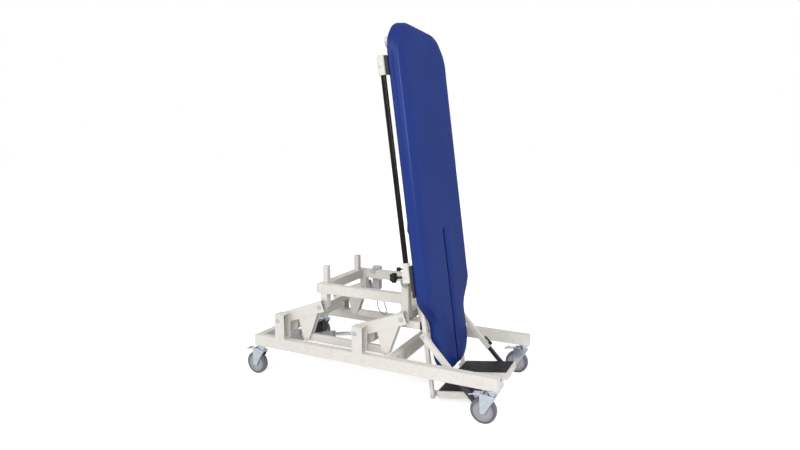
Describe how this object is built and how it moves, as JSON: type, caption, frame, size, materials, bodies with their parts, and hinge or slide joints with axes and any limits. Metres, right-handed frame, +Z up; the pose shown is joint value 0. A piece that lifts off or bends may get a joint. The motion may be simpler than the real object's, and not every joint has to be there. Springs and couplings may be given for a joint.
{
  "type": "physiotherapy tilt table",
  "caption": "Powered tilt table on a wheeled lift base, stood nearly upright, with a padded top, handrails and folding footplates.",
  "frame": {"origin": "on the floor, midway along and across the whole table's outer size, as stood upright", "axes": "+Z up; +X towards the foot end, where the footplates stand out; +Y across the table, towards the side that holds the handset"},
  "size_m": [1.4654, 0.698, 1.8766],
  "materials": {
    "ivory_paint": "semi-gloss",
    "black_paint": "semi-gloss",
    "zinc_steel": "satin",
    "navy_vinyl": "smooth",
    "board_wood": "matt",
    "black_plastic": "matt",
    "grey_plastic": "matt",
    "black_rubber": "matt",
    "grey_tyre": "matt",
    "pale_plastic": "matt"
  },
  "bodies": {
    "base": {"base_rails": "ivory_paint", "base_cross_tubes": "ivory_paint", "base_end_caps": "black_plastic", "base_posts": "ivory_paint", "base_pivot_bolts": "zinc_steel"},
    "fork_head_near": {"fork_head_near": "zinc_steel"},
    "wheel_head_near": {"wheel_head_near": "grey_tyre"},
    "pedal_head_near": {"pedal_head_near": "black_plastic"},
    "fork_head_far": {"fork_head_far": "zinc_steel"},
    "wheel_head_far": {"wheel_head_far": "grey_tyre"},
    "pedal_head_far": {"pedal_head_far": "black_plastic"},
    "fork_foot_near": {"fork_foot_near": "zinc_steel"},
    "wheel_foot_near": {"wheel_foot_near": "grey_tyre"},
    "pedal_foot_near": {"pedal_foot_near": "black_plastic"},
    "fork_foot_far": {"fork_foot_far": "zinc_steel"},
    "wheel_foot_far": {"wheel_foot_far": "grey_tyre"},
    "pedal_foot_far": {"pedal_foot_far": "black_plastic"},
    "head_arm": {"head_arms": "ivory_paint", "head_levers": "ivory_paint"},
    "foot_arm": {"foot_arms": "ivory_paint", "foot_levers": "ivory_paint"},
    "link": {"link_bars": "ivory_paint"},
    "carriage": {"carriage_rails": "ivory_paint", "carriage_cross_tubes": "ivory_paint", "carriage_legs": "ivory_paint", "stop_buffers": "black_rubber", "rest_stubs": "ivory_paint", "carriage_pivot_bolts": "zinc_steel", "tilt_pivot_pins": "grey_plastic", "handset": "grey_plastic", "handset_cord": "grey_plastic"},
    "lift_housing": {"lift_housing": "grey_plastic"},
    "lift_rod": {"lift_rod": "zinc_steel"},
    "table": {"table_frame": "ivory_paint", "table_board": "board_wood", "mattress": "navy_vinyl", "handrails": "black_paint", "rail_strips": "black_paint", "rail_brackets": "ivory_paint", "head_bumpers": "pale_plastic", "foot_posts": "ivory_paint", "table_bolts": "zinc_steel"},
    "tilt_housing": {"tilt_housing": "grey_plastic"},
    "tilt_rod": {"tilt_rod": "zinc_steel"},
    "star_knob_near": {"star_knob_near": "black_plastic"},
    "plunger_near": {"plunger_near": "black_plastic"},
    "footplate_near": {"footplate_near": "ivory_paint", "tread_near": "black_rubber"},
    "strut_tube_near": {"strut_tube_near": "ivory_paint"},
    "strut_rod_near": {"strut_rod_near": "black_paint"},
    "strut_knob_near": {"strut_knob_near": "black_plastic"},
    "star_knob_far": {"star_knob_far": "black_plastic"},
    "plunger_far": {"plunger_far": "black_plastic"},
    "footplate_far": {"footplate_far": "ivory_paint", "tread_far": "black_rubber"},
    "strut_tube_far": {"strut_tube_far": "ivory_paint"},
    "strut_rod_far": {"strut_rod_far": "black_paint"},
    "strut_knob_far": {"strut_knob_far": "black_plastic"},
    "lift_rocker": {"lift_rocker": "black_plastic"},
    "tilt_rocker": {"tilt_rocker": "black_plastic"}
  },
  "joints": [
    {"name": "swivel_head_near", "type": "hinge", "parent": "base", "child": "fork_head_near", "pos_m": [-0.62825, -0.323, 0.16], "axis": [0, 0, 1], "continuous": true},
    {"name": "roll_head_near", "type": "hinge", "parent": "fork_head_near", "child": "wheel_head_near", "pos_m": [-0.66425, -0.323, 0.0625], "axis": [0, 1, 0], "continuous": true},
    {"name": "brake_head_near", "type": "hinge", "parent": "fork_head_near", "child": "pedal_head_near", "pos_m": [-0.67525, -0.323, 0.143], "axis": [0, -1, 0], "range_deg": [0, 9]},
    {"name": "swivel_head_far", "type": "hinge", "parent": "base", "child": "fork_head_far", "pos_m": [-0.62825, 0.323, 0.16], "axis": [0, 0, 1], "continuous": true},
    {"name": "roll_head_far", "type": "hinge", "parent": "fork_head_far", "child": "wheel_head_far", "pos_m": [-0.66425, 0.323, 0.0625], "axis": [0, 1, 0], "continuous": true},
    {"name": "brake_head_far", "type": "hinge", "parent": "fork_head_far", "child": "pedal_head_far", "pos_m": [-0.67525, 0.323, 0.143], "axis": [0, -1, 0], "range_deg": [0, 9]},
    {"name": "swivel_foot_near", "type": "hinge", "parent": "base", "child": "fork_foot_near", "pos_m": [0.69975, -0.323, 0.16], "axis": [0, 0, 1], "continuous": true},
    {"name": "roll_foot_near", "type": "hinge", "parent": "fork_foot_near", "child": "wheel_foot_near", "pos_m": [0.66375, -0.323, 0.0625], "axis": [0, 1, 0], "continuous": true},
    {"name": "brake_foot_near", "type": "hinge", "parent": "fork_foot_near", "child": "pedal_foot_near", "pos_m": [0.65275, -0.323, 0.143], "axis": [0, -1, 0], "range_deg": [0, 9]},
    {"name": "swivel_foot_far", "type": "hinge", "parent": "base", "child": "fork_foot_far", "pos_m": [0.69975, 0.323, 0.16], "axis": [0, 0, 1], "continuous": true},
    {"name": "roll_foot_far", "type": "hinge", "parent": "fork_foot_far", "child": "wheel_foot_far", "pos_m": [0.66375, 0.323, 0.0625], "axis": [0, 1, 0], "continuous": true},
    {"name": "brake_foot_far", "type": "hinge", "parent": "fork_foot_far", "child": "pedal_foot_far", "pos_m": [0.65275, 0.323, 0.143], "axis": [0, -1, 0], "range_deg": [0, 9]},
    {"name": "lift", "type": "hinge", "parent": "base", "child": "head_arm", "pos_m": [-0.49925, 0, 0.332], "axis": [0, -1, 0], "range_deg": [-3, 38]},
    {"name": "foot_arm_turn", "type": "hinge", "parent": "base", "child": "foot_arm", "pos_m": [-0.01325, 0, 0.332], "axis": [0, -1, 0], "range_deg": [-3, 38]},
    {"name": "link_turn", "type": "hinge", "parent": "head_arm", "child": "link", "pos_m": [-0.35625, 0, 0.239], "axis": [0, -1, 0], "range_deg": [-38, 3]},
    {"name": "carriage_turn", "type": "hinge", "parent": "head_arm", "child": "carriage", "pos_m": [-0.2676, 0, 0.42], "axis": [0, -1, 0], "range_deg": [-38, 3]},
    {"name": "lift_housing_swing", "type": "hinge", "parent": "base", "child": "lift_housing", "pos_m": [-0.60225, -0.15, 0.176], "axis": [0, -1, 0], "range_deg": [-3.95, 0.77]},
    {"name": "lift_rod_slide", "type": "slide", "parent": "lift_housing", "child": "lift_rod", "axis": [0.9861, 0, 0.1662], "range_m": [-0.0048, 0.0494]},
    {"name": "tilt", "type": "hinge", "parent": "carriage", "child": "table", "pos_m": [0.2184, 0, 0.598], "axis": [0, -1, 0], "range_deg": [0, 82.5]},
    {"name": "tilt_housing_swing", "type": "hinge", "parent": "table", "child": "tilt_housing", "pos_m": [0.1821, 0, 1.02693], "axis": [0, 1, 0], "range_deg": [-0.5, 2.26]},
    {"name": "tilt_rod_slide", "type": "slide", "parent": "tilt_housing", "child": "tilt_rod", "axis": [0.0019, 0, -1], "range_m": [-0.0652, 0.002]},
    {"name": "star_turn_near", "type": "hinge", "parent": "table", "child": "star_knob_near", "pos_m": [0.21266, -0.321, 0.64162], "axis": [0.9914, 0, 0.1305], "continuous": true},
    {"name": "plunger_pull_near", "type": "slide", "parent": "table", "child": "plunger_near", "axis": [-0.9914, 0, -0.1305], "range_m": [0, 0.006], "stiffness_N_per_m": 600, "springref_m": -0.002},
    {"name": "footplate_tip_near", "type": "hinge", "parent": "table", "child": "footplate_near", "pos_m": [0.37243, 0, 0.03327], "axis": [0, 1, 0], "range_deg": [-8, 8]},
    {"name": "strut_swing_near", "type": "hinge", "parent": "table", "child": "strut_tube_near", "pos_m": [0.33171, 0, 0.3426], "axis": [0, 1, 0], "range_deg": [-3, 3]},
    {"name": "strut_slide_near", "type": "slide", "parent": "strut_tube_near", "child": "strut_rod_near", "axis": [0.6865, 0, -0.7272], "range_m": [-0.0265, 0.0265]},
    {"name": "strut_lock_near", "type": "hinge", "parent": "strut_tube_near", "child": "strut_knob_near", "pos_m": [0.50813, -0.2555, 0.15572], "axis": [0.7272, 0, 0.6865], "range_deg": [0, 150]},
    {"name": "star_turn_far", "type": "hinge", "parent": "table", "child": "star_knob_far", "pos_m": [0.21266, 0.321, 0.64162], "axis": [0.9914, 0, 0.1305], "continuous": true},
    {"name": "plunger_pull_far", "type": "slide", "parent": "table", "child": "plunger_far", "axis": [-0.9914, 0, -0.1305], "range_m": [0, 0.006], "stiffness_N_per_m": 600, "springref_m": -0.002},
    {"name": "footplate_tip_far", "type": "hinge", "parent": "table", "child": "footplate_far", "pos_m": [0.37243, 0, 0.03327], "axis": [0, 1, 0], "range_deg": [-8, 8]},
    {"name": "strut_swing_far", "type": "hinge", "parent": "table", "child": "strut_tube_far", "pos_m": [0.33171, 0, 0.3426], "axis": [0, 1, 0], "range_deg": [-3, 3]},
    {"name": "strut_slide_far", "type": "slide", "parent": "strut_tube_far", "child": "strut_rod_far", "axis": [0.6865, 0, -0.7272], "range_m": [-0.0265, 0.0265]},
    {"name": "strut_lock_far", "type": "hinge", "parent": "strut_tube_far", "child": "strut_knob_far", "pos_m": [0.50813, 0.2555, 0.15572], "axis": [0.7272, 0, 0.6865], "range_deg": [-150, 0]},
    {"name": "lift_rocker_rock", "type": "hinge", "parent": "carriage", "child": "lift_rocker", "pos_m": [-0.19725, 0.263, 0.528], "axis": [1, 0, 0], "range_deg": [-5, 5], "stiffness_Nm_per_rad": 0.2},
    {"name": "tilt_rocker_rock", "type": "hinge", "parent": "carriage", "child": "tilt_rocker", "pos_m": [-0.19725, 0.263, 0.502], "axis": [1, 0, 0], "range_deg": [-5, 5], "stiffness_Nm_per_rad": 0.2}
  ],
  "couplings": [
    {"joint": "foot_arm_turn", "follows": "lift", "ratio": 1},
    {"joint": "link_turn", "follows": "lift", "ratio": -1},
    {"joint": "carriage_turn", "follows": "lift", "ratio": -1},
    {"joint": "lift_housing_swing", "follows": "lift", "ratio": -0.0907},
    {"joint": "lift_rod_slide", "follows": "lift", "m_per_rad": 0.07298},
    {"joint": "tilt_housing_swing", "follows": "tilt", "ratio": 0.0213},
    {"joint": "tilt_rod_slide", "follows": "tilt", "m_per_rad": -0.043912},
    {"joint": "strut_swing_near", "follows": "footplate_tip_near", "ratio": 0.33783},
    {"joint": "strut_slide_near", "follows": "footplate_tip_near", "m_per_rad": 0.18254},
    {"joint": "strut_swing_far", "follows": "footplate_tip_far", "ratio": 0.33783},
    {"joint": "strut_slide_far", "follows": "footplate_tip_far", "m_per_rad": 0.18254}
  ]
}
